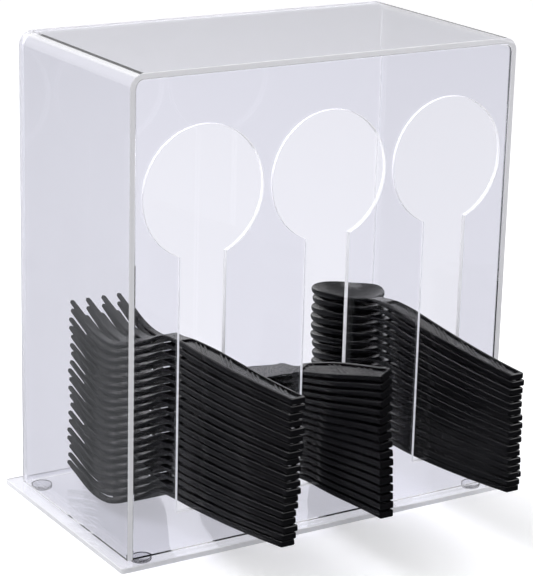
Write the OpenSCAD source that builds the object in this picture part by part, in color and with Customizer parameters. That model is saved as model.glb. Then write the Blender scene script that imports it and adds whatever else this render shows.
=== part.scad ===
// Clear cutlery dispenser with three keyhole windows.
// A case of bent and flat acrylic sheet stands on a base plate with bumper feet.
// Forks, knives and spoons lie in three stacks inside it. Their handles reach out
// through the slots, and a piece is lifted to the round window and drawn out.
// X is the width, Y runs from front to back and Z is up. The feet stand on Z = 0,
// and the origin is the middle of the whole outline seen from above.

/* [Case] */
// Outer width of the case
case_w = 194; // [190:1:230]
// Outer depth of the case, from front face to back face
case_d = 103; // [98:1:125]
// Height of the case above the base plate
case_h = 211; // [200:1:260]
// Thickness of the acrylic sheet of the case
sheet_t = 2.5; // [2:0.1:3.5]
// Outer radius of the two bends along the top
bend_r = 6.5; // [5:0.5:12]
// Cemented joint round the edges of the front and back panels
joint_gap = 0.1; // [0.05:0.05:0.2]

/* [Base] */
// Thickness of the base plate
base_t = 2.5; // [2:0.1:5]
// How far the base plate stands out round the case
base_lip = 6; // [3:0.5:15]
// Corner radius of the base plate
base_corner_r = 1.5; // [0.5:0.5:3]
// Diameter of a bumper foot
foot_d = 9.5; // [6:0.5:14]
// Height of a bumper foot
foot_h = 2.2; // [1.5:0.1:4]
// Radius of a bumper foot's lower edge
foot_edge_r = 0.9; // [0.3:0.1:1.2]
// Distance of the feet from the base plate's side edges
foot_inset_x = 15; // [10:1:30]
// Distance of the feet from the base plate's front and back edges
foot_inset_y = 11; // [8:1:25]

/* [Windows] */
// Width of the webs between the round windows
window_web = 4.6; // [3:0.1:8]
// Distance between the outer windows and the side walls
window_side = 3.8; // [2:0.1:6]
// Distance between the windows and the top of the case
window_top = 23.8; // [18:0.1:30]
// Width of the slot below each window
slot_w = 22; // [16:0.5:24]
// Height of the slot floors above the base plate
slot_floor = 17.7; // [14:0.1:22]

/* [Handles] */
// Width of a handle at its widest, where it crosses the slot
handle_w = 9.3; // [8:0.1:11]
// Width of a handle at its end
handle_end_w = 6.8; // [5:0.1:9]
// Width of the neck between handle and head
neck_w = 6.4; // [5:0.1:8]
// Length over which a handle widens from its neck
handle_flare = 32; // [24:1:36]
// Size of the corners cut from a handle's end
handle_corner = 0.9; // [0.4:0.1:1.5]
// Thickness of a handle over its rims
handle_t = 2.7; // [2.2:0.1:3.2]
// Length over which a handle thins down to its neck
handle_thinning = 14; // [10:1:16]
// Depth of the recess in a handle's upper face
recess_depth = 0.9; // [0.4:0.1:1.2]
// Width of the rim round that recess
rim_w = 1.1; // [0.8:0.1:1.6]
// Distance from the neck to the recess
recess_setback = 10; // [6:1:14]
// Gap under a piece where it lies on the case
seat_gap = 0.2; // [0.1:0.05:0.3]
// How far handle ends scatter from front to back in a stack
scatter_y = 1.2; // [0:0.1:1.4]
// How far the pieces scatter sideways in a stack
scatter_x = 0.7; // [0:0.1:1]

/* [Ridges] */
// Height of the slanted ridges on the floor of a handle's recess
ridge_h = 0.4; // [0.2:0.1:0.8]
// Width of a ridge
ridge_w = 0.8; // [0.5:0.1:1.2]
// Angle between the ridges and the handle
ridge_angle = 25; // [15:1:40]
// Distance between the ridges of a group, along the handle
ridge_pitch = 3.8; // [2.5:0.1:5]
// Number of ridges in a group
ridge_count = 3; // [1:1:4]
// Distance between neighbouring groups
ridge_group = 21; // [18:0.5:30]
// Distance from the handle's end to the middle of the first group
ridge_start = 12.5; // [10:0.5:20]

/* [Forks] */
// Number of forks in the stack
fork_count = 20; // [2:1:20]
// Length along the fork from its lowest point to the handle's end
fork_grip = 131; // [125:1:138]
// Length along the fork from its lowest point to the tine tips
fork_reach = 44.5; // [40:0.5:48]
// Distance from the fork's lowest point to its neck
fork_neck = 30; // [26:0.5:34]
// Length of the rise behind the lowest point
fork_heel_l = 14; // [13:0.5:16]
// Angle through which this rise turns
fork_heel_angle = 18.9; // [17:0.1:21]
// Length of the straight stretch above the rise
fork_ramp_l = 9; // [8:0.5:11]
// Length of the bend from there to the handle
fork_knee_l = 6; // [5:0.5:9]
// Angle of this bend
fork_knee_angle = 26.3; // [24:0.1:28]
// Length of the handle's nearly straight stretch in front of it
fork_bow_l = 45; // [40:1:50]
// Angle through which this stretch bows
fork_bow_angle = 2; // [0:0.5:3]
// Angle through which the handle curves up from there to its end
fork_sag_angle = 3.8; // [2:0.1:6]
// Length of the curve from the lowest point towards the tips
fork_sweep_l = 27.5; // [22:0.5:32]
// Angle through which this curve turns
fork_sweep_angle = 31.2; // [28:0.1:33]
// Width of the fork's head
fork_head_w = 26; // [22.5:0.5:30]
// Length over which the head widens from the neck
fork_shoulder = 34; // [28:1:38]
// Thickness of the fork's head
fork_head_t = 1.8; // [1.4:0.1:2.2]
// Thickness of the tines at their tips
tine_tip_t = 1.3; // [1:0.1:1.8]
// Length of the tines
tine_l = 36; // [28:1:40]
// Width of the gaps between the tines at their roots
tine_gap = 3; // [2:0.1:3.6]
// Width of a tine at its tip
tine_tip_w = 2.2; // [1.6:0.1:3]
// Gap between the tine tips and the back panel
fork_back_gap = 0.7; // [0.3:0.1:4]
// Angle by which each fork lies flatter than the one below
fork_fan_angle = 0.29; // [0.2:0.01:0.35]
// Least gap between two forks' handles
fork_nest_gap = 0.6; // [0.4:0.05:0.8]
// How much farther forward each fork lies than the one below
fork_step = 0.13; // [0:0.01:0.2]

/* [Knives] */
// Number of knives in the stack
knife_count = 17; // [2:1:17]
// Length of the blade along the knife
blade_l = 84; // [75:1:90]
// Length of the handle along the knife
knife_grip = 70; // [65:1:80]
// Length over which the blade bends up to the handle
blade_bend_l = 14; // [10:1:20]
// Angle of this bend
blade_angle = 2; // [0:0.5:4]
// Distance from the blade to the bend in the handle
grip_straight = 6; // [3:1:12]
// Length of the bend in the handle
grip_bend_l = 14; // [10:1:20]
// Angle of the bend in the handle
grip_angle = 5; // [2:0.5:8]
// Angle through which the handle bows from there to its end
grip_bow_angle = 2; // [0:0.5:5]
// Width of the blade at its widest
blade_w = 14; // [10:0.5:16]
// Width of the bevel along the blade's edge
bevel_w = 3.6; // [1:0.1:5]
// Thickness of the blade at its edge
edge_t = 0.5; // [0.3:0.1:1]
// Thickness of the blade
blade_t = 1.3; // [1.1:0.1:1.5]
// Least gap between two blades that lie on each other
blade_gap = 0.9; // [0.8:0.05:1.1]
// Thickness of the knife's handle where it meets the blade
bolster_t = 2; // [1.6:0.1:2.2]
// Length over which the blade thickens to that
bolster_l = 6; // [4:0.5:10]
// Thickness of the knife's handle at its end
knife_end_t = 2.9; // [2.4:0.1:3]
// Gap between the upper blades' tips and the back panel
knife_back_gap = 0.7; // [0.3:0.1:6]
// Angle by which each knife stands steeper than the one below
knife_fan_angle = 0.59; // [0.5:0.01:0.65]
// Angle by which the top knife is rolled to its side
knife_roll_angle = 26; // [0:1:28]
// How far the knives lie left of their slot's middle
knife_shift = 2; // [0:0.1:3.5]
// How much farther back the upper half of the knives lies
knife_step = 3; // [0:0.5:5]

/* [Spoons] */
// Number of spoons in the stack
spoon_count = 17; // [2:1:17]
// Length along the spoon from its lowest point to the handle's end
spoon_grip = 132; // [126:1:136]
// Length of the bowl from its lowest point to its tip
bowl_reach = 24; // [20:0.5:26]
// Length of the bowl from its lowest point to the neck
bowl_heel = 20; // [18:0.5:22]
// Length of the spoon's neck from the bowl's rim to the handle
spoon_knee_l = 9.2; // [8:0.1:12]
// Angle by which the neck bends down past the level
spoon_knee_angle = 8; // [6:0.5:9]
// Length of the bowed stretch that follows
spoon_bow_l = 23; // [20:1:30]
// Angle through which this stretch bows
spoon_bow_angle = 8; // [6:0.5:9]
// Angle through which the handle curves up from there to its end
spoon_sag_angle = 6.2; // [4:0.1:8]
// Width of the bowl
bowl_w = 29; // [24:0.5:31]
// Radius of the bowl's underside along the spoon
bowl_r = 40; // [36:1:50]
// Radius of the bowl's underside across the spoon
bowl_cross_r = 18.5; // [17:0.5:24]
// Thickness of the bowl's wall
bowl_t = 1.5; // [1.2:0.1:1.8]
// Gap between the bowl tips and the back panel
spoon_back_gap = 11; // [2:0.5:14]
// Angle by which each spoon lies flatter than the one below
spoon_fan_angle = 0.51; // [0.4:0.01:0.6]
// Least gap between two spoons' handles
spoon_nest_gap = 0.5; // [0.4:0.05:0.7]
// How much farther back each spoon lies than the one below
spoon_step = 0.25; // [0:0.01:0.3]
// How far the spoons lie left of their slot's middle
spoon_shift = 2.5; // [0:0.1:3.5]

/* [Hidden] */
$fn = 64;
small_fn = 24; // for the small rounds of the tines
cut = 1; // how far a cutting solid reaches past the face it cuts

function two(k) = str(k < 10 ? "0" : "", k);
function names(kind, count) = [for (k = [1:count]) str(kind, "_", two(k))];

acrylic = [0.85, 0.87, 0.92, 0.35];
black_plastic = [0.07, 0.07, 0.08];

// ---- Heights and places of the case
deck_z = foot_h + base_t; // upper face of the base plate
inner_w = case_w - 2*sheet_t;
inner_h = case_h - sheet_t;
inner_back = case_d - sheet_t; // inner face of the back panel, from the front face
window_d = (inner_w - 2*window_side - 2*window_web)/3;
window_pitch = window_d + window_web;
window_z = case_h - window_top - window_d/2; // height of the window centres above the base plate
fork_x = -window_pitch;
knife_x = -knife_shift;
spoon_x = window_pitch - spoon_shift;

// ---- Side curves
// A stretch is [length, bend in degrees, number of steps]. A walk along stretches gives
// points [u, z, heading] with u away from the start.
function steps(stretches) =
    [for (s = stretches) for (j = [1:s[2]]) [s[0]/s[2], s[1]/s[2]]];
function walk(st, p = [0, 0], a = 0, k = 0) =
    k == len(st) ? [[p[0], p[1], a]]
    : let (h = a + st[k][1]/2)
      concat([[p[0], p[1], a]],
             walk(st, p + st[k][0]*[cos(h), sin(h)], a + st[k][1], k + 1));
function total(stretches, k = 0) =
    k == len(stretches) ? 0 : stretches[k][0] + total(stretches, k + 1);
// The underside from the handle's end, at negative y, to the head's far end
function underside(front, back) = concat(
    [for (i = [len(front) - 1:-1:1]) [-front[i][0], front[i][1], -front[i][2]]], back);
// A smooth step from 0 to 1 between a and b
function ease(a, b, v) = let (t = min(1, max(0, (v - a)/(b - a)))) t*t*(3 - 2*t);
// Lowest and foremost points of an underside that is tilted with its handle up
function lowest(pts, tilt) = min([for (p = pts) p[1]*cos(tilt) - p[0]*sin(tilt)]);
function foremost(pts, tilt) = min([for (p = pts) p[0]*cos(tilt) + p[1]*sin(tilt)]);
// Height of an underside at y
function height_at(pts, y) = lookup(y, [for (p = pts) [p[0], p[1]]]);
// Tilt at which a piece that pivots at height z0 lies on the slot's floor, back from its pivot by run
function lean(rise, run, z0) =
    let (up = slot_floor + seat_gap - z0)
    asin(up/norm([run, rise])) - atan2(rise, run);
// Pivot height of a piece whose lowest point lies on the deck and whose handle lies on the slot's floor
function pivot_height(pts, rise, run, z0 = seat_gap, n = 3) =
    n == 0 ? z0 : pivot_height(pts, rise, run, seat_gap - lowest(pts, lean(rise, run, z0)), n - 1);
// Scatter of the k-th piece: sideways between -1 and 1, and forward between 0 and 1.
// The bottom piece lies in its exact place.
function scatter(k, seed) = k == 1 ? 0 : sin(97*k + seed)*cos(41*k + 2*seed);
function draw(k, seed) = k == 1 ? 0 : (1 + scatter(k, seed))/2;

fork_dip = [[fork_heel_l, fork_heel_angle, 5], [fork_ramp_l, 0, 1],
            [fork_knee_l, -fork_knee_angle, 3], [fork_bow_l, -fork_bow_angle, 3]];
fork_front = walk(steps(concat(fork_dip, [[fork_grip - total(fork_dip), fork_sag_angle, 5]])));
fork_sweep = [[fork_sweep_l, fork_sweep_angle, 6]];
fork_rear = walk(steps(concat(fork_sweep, [[fork_reach - total(fork_sweep), 0, 1]])));
fork_side = underside(fork_front, fork_rear);

knife_front = walk(steps([
    [blade_l - blade_bend_l, 0, 1], [blade_bend_l, -blade_angle, 2],
    [grip_straight, 0, 1], [grip_bend_l, -grip_angle, 3],
    [knife_grip - grip_straight - grip_bend_l, -grip_bow_angle, 3]]));
knife_side = underside(knife_front, [[0, 0, 0]]);

neck_overlap = 3; // how far the handle runs on along the bowl's underside
heel_angle = asin((bowl_heel - neck_overlap)/bowl_r);
tip_angle = asin(bowl_reach/bowl_r);
function bowl_arc(a) = bowl_r*a*PI/180;
spoon_dip = [[bowl_arc(heel_angle), heel_angle, 5], [spoon_knee_l, -heel_angle - spoon_knee_angle, 4],
             [spoon_bow_l, -spoon_bow_angle, 3]];
spoon_front = walk(steps(concat(spoon_dip, [[spoon_grip - total(spoon_dip), spoon_sag_angle, 5]])));
spoon_rear = walk(steps([[bowl_arc(tip_angle), tip_angle, 6]]));
spoon_side = underside(spoon_front, spoon_rear);

// ---- Places of the stacks, measured from the front face and the base plate
// Forks pivot on the lowest point of their heads.
fork_pitch = handle_t + fork_nest_gap + fork_front[len(fork_front) - 1][0]*sin(fork_fan_angle);
fork_pivot_y = inner_back - fork_back_gap - fork_reach;
fork_run = fork_pivot_y - sheet_t;
fork_rise = height_at(fork_side, -fork_run);
fork_z0 = pivot_height(fork_side, fork_rise, fork_run);
fork_tilt1 = lean(fork_rise, fork_run, fork_z0);
function fork_tilt(k) = fork_tilt1 - (k - 1)*fork_fan_angle;
function fork_z(k) = fork_z0 + (k - 1)*fork_pitch;
function fork_y(k) = fork_pivot_y - (k - 1)*fork_step - scatter_y*draw(k, 20);

// Knives pivot on the blade's tip. The upper ones are slid back along their own slope.
knife_pitch = blade_t + blade_gap;
knife_pivot_y = inner_back - knife_back_gap - knife_step;
knife_run = knife_pivot_y - sheet_t;
knife_rise = height_at(knife_side, -knife_run);
knife_tilt1 = lean(knife_rise, knife_run, seat_gap);
function knife_tilt(k) = knife_tilt1 + (k - 1)*knife_fan_angle;
function knife_slide(k) = knife_step*ease(0.4*knife_count, 0.65*knife_count, k);
function knife_z(k) = seat_gap + (k - 1)*knife_pitch - knife_slide(k)*sin(knife_tilt(k));
function knife_y(k) = knife_pivot_y + knife_slide(k)*cos(knife_tilt(k));
function knife_turn(k) = knife_roll_angle*ease(0.3*knife_count, knife_count - 1, k);

// Spoons pivot on the lowest point of their bowls.
spoon_pitch = handle_t + spoon_nest_gap + spoon_front[len(spoon_front) - 1][0]*sin(spoon_fan_angle);
spoon_pivot_y = inner_back - spoon_back_gap - bowl_reach;
spoon_run = spoon_pivot_y - sheet_t;
spoon_rise = height_at(spoon_side, -spoon_run);
spoon_z0 = pivot_height(spoon_side, spoon_rise, spoon_run);
spoon_tilt1 = lean(spoon_rise, spoon_run, spoon_z0);
function spoon_tilt(k) = spoon_tilt1 - (k - 1)*spoon_fan_angle;
function spoon_z(k) = spoon_z0 + (k - 1)*spoon_pitch;
function spoon_y(k) = spoon_pivot_y + (k - 1)*spoon_step - scatter_y*draw(k, 50);

// The forks' handles reach farthest to the front, and the origin is halfway from there
// to the back edge of the base plate.
front_reach = min([for (k = [1:fork_count]) fork_y(k) + foremost(fork_side, fork_tilt(k))]);
middle_y = (front_reach + case_d + base_lip)/2;

// ---- Case
// Arched outline: square feet and two rounded upper corners
module arch(w, h, r) {
    translate([-w/2, 0]) square([w, h - r]);
    translate([-w/2 + r, 0]) square([w - 2*r, h]);
    for (side = [-1, 1]) translate([side*(w/2 - r), h - r]) circle(r);
}

// Stands a flat outline up, with its front face at y and its thickness towards the back
module upright(y, t) {
    translate([0, y + t - middle_y, deck_z]) rotate([90, 0, 0]) linear_extrude(height = t) children();
}

module panel_outline() {
    difference() {
        arch(inner_w - 2*joint_gap, inner_h - joint_gap, bend_r - sheet_t + joint_gap);
        children();
    }
}

module keyhole(x) {
    translate([x, window_z]) circle(d = window_d);
    translate([x - slot_w/2, slot_floor]) square([slot_w, window_z - slot_floor]);
}

module case_wrap() {
    color(acrylic)
    upright(0, case_d) difference() {
        arch(case_w, case_h, bend_r);
        translate([0, -cut]) arch(inner_w, inner_h + cut, bend_r - sheet_t);
    }
}

module front_panel() {
    color(acrylic)
    upright(0, sheet_t) panel_outline() {
        for (k = [-1:1]) keyhole(k*window_pitch);
    }
}

module back_panel() {
    color(acrylic)
    upright(inner_back, sheet_t) panel_outline();
}

// ---- Base
base_w = case_w + 2*base_lip;
base_d = case_d + 2*base_lip;

module rounded_plate(w, d, r) {
    square([w - 2*r, d], center = true);
    square([w, d - 2*r], center = true);
    for (sx = [-1, 1], sy = [-1, 1]) translate([sx*(w/2 - r), sy*(d/2 - r)]) circle(r);
}

module base_plate() {
    color(acrylic)
    translate([0, case_d/2 - middle_y, foot_h])
    linear_extrude(height = base_t) rounded_plate(base_w, base_d, base_corner_r);
}

module bumper_foot() {
    rotate_extrude() {
        square([foot_d/2 - foot_edge_r, foot_h]);
        translate([0, foot_edge_r]) square([foot_d/2, foot_h - foot_edge_r]);
        translate([foot_d/2 - foot_edge_r, foot_edge_r]) circle(foot_edge_r);
    }
}

module bumper_feet() {
    color(acrylic)
    translate([0, case_d/2 - middle_y, 0])
    for (sx = [-1, 1], sy = [-1, 1])
        translate([sx*(base_w/2 - foot_inset_x), sy*(base_d/2 - foot_inset_y), 0]) bumper_foot();
}

// ---- Cutlery
// A strip along an underside. Its lower and upper face lie at the heights low and high
// above the underside, given for each of its points.
function above(p, h) = [p[0] - h*sin(p[2]), p[1] + h*cos(p[2])];
module side_strip(pts, low, high, width) {
    rotate([90, 0, 90]) linear_extrude(height = width, center = true)
    polygon(concat([for (i = [0:len(pts) - 1]) above(pts[i], low[i])],
                   [for (i = [len(pts) - 1:-1:0]) above(pts[i], high[i])]));
}

// Plan outline from stations [y, left, right], rounded between them by n steps
function between(a, b, n) = [for (j = [0:n - 1]) let (t = j/n, e = ease(0, 1, t))
    [a[0] + t*(b[0] - a[0]), a[1] + e*(b[1] - a[1]), a[2] + e*(b[2] - a[2])]];
function outline(stations, n = 4) =
    let (run = concat([for (i = [0:len(stations) - 2]) each between(stations[i], stations[i + 1], n)],
                      [stations[len(stations) - 1]]))
    concat([for (s = run) [s[2], s[0]]], [for (i = [len(run) - 1:-1:0]) [-run[i][1], run[i][0]]]);

// A plan outline drawn up through everything
tall = 90;
module through() {
    translate([0, 0, -tall/3]) linear_extrude(height = tall) children();
}

// Stations of a handle that ends at y_end and meets its head at y_neck, inset by rim
function handle_stations(y_end, y_neck, rim = 0) =
    let (end = y_end + rim, wide = handle_w/2 - rim, narrow = handle_end_w/2 - rim, neck = neck_w/2 - rim)
    [[end, narrow - handle_corner, narrow - handle_corner], [end + handle_corner, narrow, narrow],
     [y_neck - handle_flare, wide, wide], [y_neck - rim, neck, neck]];

// Groups of slanted ridges in plan, over a recess that ends at y_end and at y_neck
module ridge_plan(y_end, y_neck) {
    for (y = [y_end + ridge_start:ridge_group:y_neck - ridge_start], k = [1:ridge_count])
        translate([0, y + (k - (ridge_count + 1)/2)*ridge_pitch]) rotate(-ridge_angle)
        square([ridge_w, 2*handle_w/sin(ridge_angle)], center = true);
}

// Recess in the upper face of a handle that ends at y_end and has its neck at y_neck,
// with ridges left standing on its floor
module handle_recess(pts, thick, y_end, y_neck) {
    floor_h = [for (t = thick) t - recess_depth];
    difference() {
        intersection() {
            side_strip(pts, floor_h, [for (t = thick) t + cut], handle_w + cut);
            through() intersection() {
                polygon(outline(handle_stations(y_end, y_neck, rim_w)));
                translate([-handle_w/2, y_end]) square([handle_w, y_neck - recess_setback - y_end]);
            }
        }
        intersection() {
            side_strip(pts, [for (h = floor_h) h - cut], [for (h = floor_h) h + ridge_h], handle_w + cut);
            through() ridge_plan(y_end, y_neck);
        }
    }
}

// Fork
fork_end_y = fork_side[0][0];
fork_neck_y = -fork_neck;
fork_tip_y = fork_side[len(fork_side) - 1][0];
tine_pitch = (fork_head_w - tine_tip_w)/3;
fork_thick = [for (p = fork_side)
    handle_t + (fork_head_t - handle_t)*ease(fork_neck_y - handle_thinning, fork_neck_y, p[0])
    + (tine_tip_t - fork_head_t)*ease(fork_tip_y - tine_l, fork_tip_y, p[0])];

module tine_gap_outline(x) {
    root_y = fork_tip_y - tine_l + tine_gap/2;
    half_tip = (tine_pitch - tine_tip_w)/2;
    translate([x, root_y]) circle(d = tine_gap, $fn = small_fn);
    polygon([[x - tine_gap/2, root_y], [x + tine_gap/2, root_y],
             [x + half_tip, fork_tip_y + cut], [x - half_tip, fork_tip_y + cut]]);
}

module fork_plan() {
    hw = fork_head_w/2;
    square_end = fork_tip_y - tine_tip_w/2;
    through() {
        difference() {
            polygon(outline(concat(
                handle_stations(fork_end_y, fork_neck_y),
                [[fork_neck_y + fork_shoulder, hw, hw], [square_end, hw, hw]])));
            for (k = [-1:1]) tine_gap_outline(k*tine_pitch);
        }
        for (k = [-1.5:1:1.5]) translate([k*tine_pitch, square_end]) circle(d = tine_tip_w, $fn = small_fn);
    }
}

module fork_shape() {
    difference() {
        intersection() {
            side_strip(fork_side, [for (t = fork_thick) 0], fork_thick, fork_head_w + cut);
            fork_plan();
        }
        handle_recess(fork_side, fork_thick, fork_end_y, fork_neck_y);
    }
}

module fork(k) {
    color(black_plastic)
    translate([fork_x + scatter_x*scatter(k, 0), fork_y(k) - middle_y, deck_z + fork_z(k)])
    rotate([-fork_tilt(k), 0, 0]) fork_shape();
}

// Knife
knife_end_y = knife_side[0][0];
knife_neck_y = -blade_l;
// Shares of the blade's length where its edge starts, is widest and turns to the tip
blade_heel_at = 0.72;
blade_belly_at = 0.3;
blade_turn_at = 0.1;
knife_thick = [for (p = knife_side) let (l = knife_neck_y - p[0])
    blade_t + (bolster_t - blade_t)*ease(0, bolster_l, l)
    + (knife_end_t - bolster_t)*max(0, l)/(knife_neck_y - knife_end_y)];

// What the bevel takes off the blade's upper face
module blade_bevel(edge) {
    translate([edge - bevel_w, -blade_heel_at*blade_l, blade_t])
    rotate([0, atan2(blade_t - edge_t, bevel_w), 0]) cube([2*bevel_w, blade_l, blade_t]);
}

module knife_shape() {
    back = handle_w/2;
    edge = blade_w - back;
    tip = back/2;
    difference() {
        intersection() {
            side_strip(knife_side, [for (t = knife_thick) 0], knife_thick, 2*blade_w);
            through() polygon(outline(concat(
                handle_stations(knife_end_y, knife_neck_y),
                [[-blade_heel_at*blade_l, back, 0.8*edge], [-blade_belly_at*blade_l, back, edge],
                 [-blade_turn_at*blade_l, 0.9*back, 0.7*edge], [0, tip, 0.1*edge]])));
        }
        handle_recess(knife_side, knife_thick, knife_end_y, knife_neck_y);
        blade_bevel(edge);
    }
}

module knife(k) {
    color(black_plastic)
    translate([knife_x + scatter_x*scatter(k, 70)/4, knife_y(k) - middle_y, deck_z + knife_z(k)])
    rotate([-knife_tilt(k), 0, 0]) rotate([0, -knife_turn(k), 0]) knife_shape();
}

// Spoon
spoon_end_y = spoon_side[0][0];
spoon_neck_y = -bowl_heel - neck_overlap;
spoon_thick = [for (p = spoon_side)
    handle_t + (bowl_t - handle_t)*ease(spoon_neck_y - handle_thinning, spoon_neck_y, p[0])];

// Outline of the bowl's rim in plan
function egg(n = 40) = [for (i = [0:n - 1]) let (a = 360*i/n)
    [bowl_w/2*cos(a), (sin(a) > 0 ? bowl_reach : bowl_heel)*sin(a)]];

// Ring whose lowest stretch is the bowl: curved by bowl_r along the spoon and bowl_cross_r across it
module bowl_ring(wall) {
    translate([0, 0, bowl_r]) rotate([0, 90, 0])
    rotate_extrude() intersection() {
        translate([bowl_r - bowl_cross_r, 0]) circle(bowl_cross_r - wall);
        translate([bowl_r - bowl_cross_r, -bowl_cross_r]) square(2*bowl_cross_r);
    }
}

module spoon_shape() {
    intersection() {
        difference() {
            bowl_ring(0);
            bowl_ring(bowl_t);
        }
        translate([0, 0, -cut]) linear_extrude(height = bowl_r/2) polygon(egg());
    }
    difference() {
        intersection() {
            side_strip(spoon_side, [for (t = spoon_thick) 0], spoon_thick, handle_w + cut);
            through() polygon(outline(concat(
                handle_stations(spoon_end_y, spoon_neck_y),
                [[neck_overlap - bowl_heel, neck_w/2, neck_w/2]])));
        }
        handle_recess(spoon_side, spoon_thick, spoon_end_y, spoon_neck_y);
    }
}

module spoon(k) {
    color(black_plastic)
    translate([spoon_x + scatter_x*scatter(k, 130), spoon_y(k) - middle_y, deck_z + spoon_z(k)])
    rotate([-spoon_tilt(k), 0, 0]) spoon_shape();
}

// ---- Assembly
case_wrap();
front_panel();
back_panel();
base_plate();
bumper_feet();
for (k = [1:fork_count]) fork(k);
for (k = [1:knife_count]) knife(k);
for (k = [1:spoon_count]) spoon(k);
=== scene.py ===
"""Dresses a clear acrylic cutlery dispenser and the forks, knives and spoons stacked in it.

Sizes are in millimetres and degrees, as in the CAD source, and meshes are made in metres.
X is the width, Y runs from front to back and Z is up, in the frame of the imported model.
"""

from __future__ import annotations

import logging
import math
from dataclasses import dataclass, field
from enum import Enum
from typing import Callable, Optional, Sequence

import bmesh
import bpy
import numpy as np
from mathutils import Matrix, Vector
from mathutils.geometry import tessellate_polygon


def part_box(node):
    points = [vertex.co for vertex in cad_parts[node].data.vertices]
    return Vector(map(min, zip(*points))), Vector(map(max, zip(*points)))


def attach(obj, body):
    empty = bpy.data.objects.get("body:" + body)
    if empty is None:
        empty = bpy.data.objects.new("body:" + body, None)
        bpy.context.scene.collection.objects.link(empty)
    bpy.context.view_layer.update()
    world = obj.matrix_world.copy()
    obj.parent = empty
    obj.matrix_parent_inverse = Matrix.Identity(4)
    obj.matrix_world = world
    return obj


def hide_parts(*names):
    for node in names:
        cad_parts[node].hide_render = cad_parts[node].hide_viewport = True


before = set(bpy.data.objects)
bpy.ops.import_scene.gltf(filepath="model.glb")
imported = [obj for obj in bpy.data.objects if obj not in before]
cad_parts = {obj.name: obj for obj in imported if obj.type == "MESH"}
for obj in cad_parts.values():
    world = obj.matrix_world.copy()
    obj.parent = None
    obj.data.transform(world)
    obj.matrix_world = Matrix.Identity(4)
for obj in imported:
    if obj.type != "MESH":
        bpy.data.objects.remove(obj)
log = logging.getLogger("dispenser")

MM = 0.001
Loop = list[tuple[float, float]]
Colour = tuple[float, float, float]
Point = tuple[float, float, float]
Stretch = tuple[float, float, int]


# ---------------------------------------------------------------- Node helpers


class Nodes:
    """A node tree in the making."""

    def __init__(self, group: bpy.types.NodeTree) -> None:
        """Takes up an empty node tree."""
        self.group = group

    def node(self, kind: str, links: Optional[dict] = None, **settings: object) -> bpy.types.Node:
        """Adds a node.

        Args:
            kind: the node's type.
            links: input name or number to a Value, a socket or a plain value.
            settings: attributes of the node.

        Returns:
            The node.
        """
        made = self.group.nodes.new(kind)
        for key, value in settings.items():
            setattr(made, key, value)
        for key, value in (links or {}).items():
            source = value.out if isinstance(value, Value) else value
            if isinstance(source, bpy.types.NodeSocket):
                self.group.links.new(source, made.inputs[key])
            else:
                made.inputs[key].default_value = source
        return made

    def value(self, kind: str, links: Optional[dict] = None, **settings: object) -> "Value":
        """Adds a node as node() does, and returns what its first output carries."""
        return Value(self, self.node(kind, links, **settings).outputs[0])

    def vector(self, x: "Value | float", y: "Value | float", z: "Value | float") -> "Value":
        """Returns a vector of three numbers."""
        return self.value("ShaderNodeCombineXYZ", {0: x, 1: y, 2: z})

    def step(self, value: "Value", low: "Value | float", high: "Value | float", first: "Value | float" = 0.0,
             last: "Value | float" = 1.0) -> "Value":
        """Returns a smooth step over a value, from first at low to last at high."""
        return self.value("ShaderNodeMapRange", {"Value": value, "From Min": low, "From Max": high,
                                                 "To Min": first, "To Max": last},
                          interpolation_type="SMOOTHSTEP")


@dataclass
class Value:
    """A number on its way through a node tree, with arithmetic.

    Args:
        nodes: the node tree that the number belongs to.
        out: the output socket that carries it.
    """

    nodes: Nodes
    out: bpy.types.NodeSocket

    def math(self, operation: str, *others: "Value | float") -> "Value":
        """Returns the result of a Math node on this number and others."""
        return self.nodes.value("ShaderNodeMath", dict(enumerate((self, *others))), operation=operation)

    def __add__(self, other: "Value | float") -> "Value":
        """Returns the sum."""
        return self.math("ADD", other)

    def __sub__(self, other: "Value | float") -> "Value":
        """Returns the difference."""
        return self.math("SUBTRACT", other)

    def __mul__(self, other: "Value | float") -> "Value":
        """Returns the product."""
        return self.math("MULTIPLY", other)


class Shader(Nodes):
    """The node tree of a material or a world in the making."""

    def __init__(self, owner: "bpy.types.Material | bpy.types.World",
                 output: str = "ShaderNodeOutputMaterial") -> None:
        """Empties the owner's tree and gives it an output.

        Args:
            owner: the material or world.
            output: type of its output node.
        """
        owner.use_nodes = True
        super().__init__(owner.node_tree)
        self.group.nodes.clear()
        self.owner, self.end = owner, self.node(output)

    def ray(self, name: str) -> Value:
        """Returns what the Light Path node says of a ray."""
        return Value(self, self.node("ShaderNodeLightPath").outputs[name])

    def blend(self, share: "Value | float", a: "Value | Colour", b: "Value | Colour") -> Value:
        """Returns a colour between a and b, at b where the share is 1."""
        ends = {key: end if isinstance(end, Value) else (*end, 1) for key, end in (("A", a), ("B", b))}
        made = self.node("ShaderNodeMix", {"Factor": share, **ends}, data_type="RGBA")
        return Value(self, made.outputs["Result"])

    def mix(self, share: Value, a: bpy.types.Node, b: bpy.types.Node) -> bpy.types.Node:
        """Returns a mix of two shaders, which is b where the share is 1."""
        return self.node("ShaderNodeMixShader", {0: share, 1: a.outputs[0], 2: b.outputs[0]})

    def finish(self, shader: bpy.types.Node) -> "bpy.types.Material | bpy.types.World":
        """Ends the tree in a shader and returns the material or world."""
        self.group.links.new(shader.outputs[0], self.end.inputs["Surface"])
        return self.owner


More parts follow.
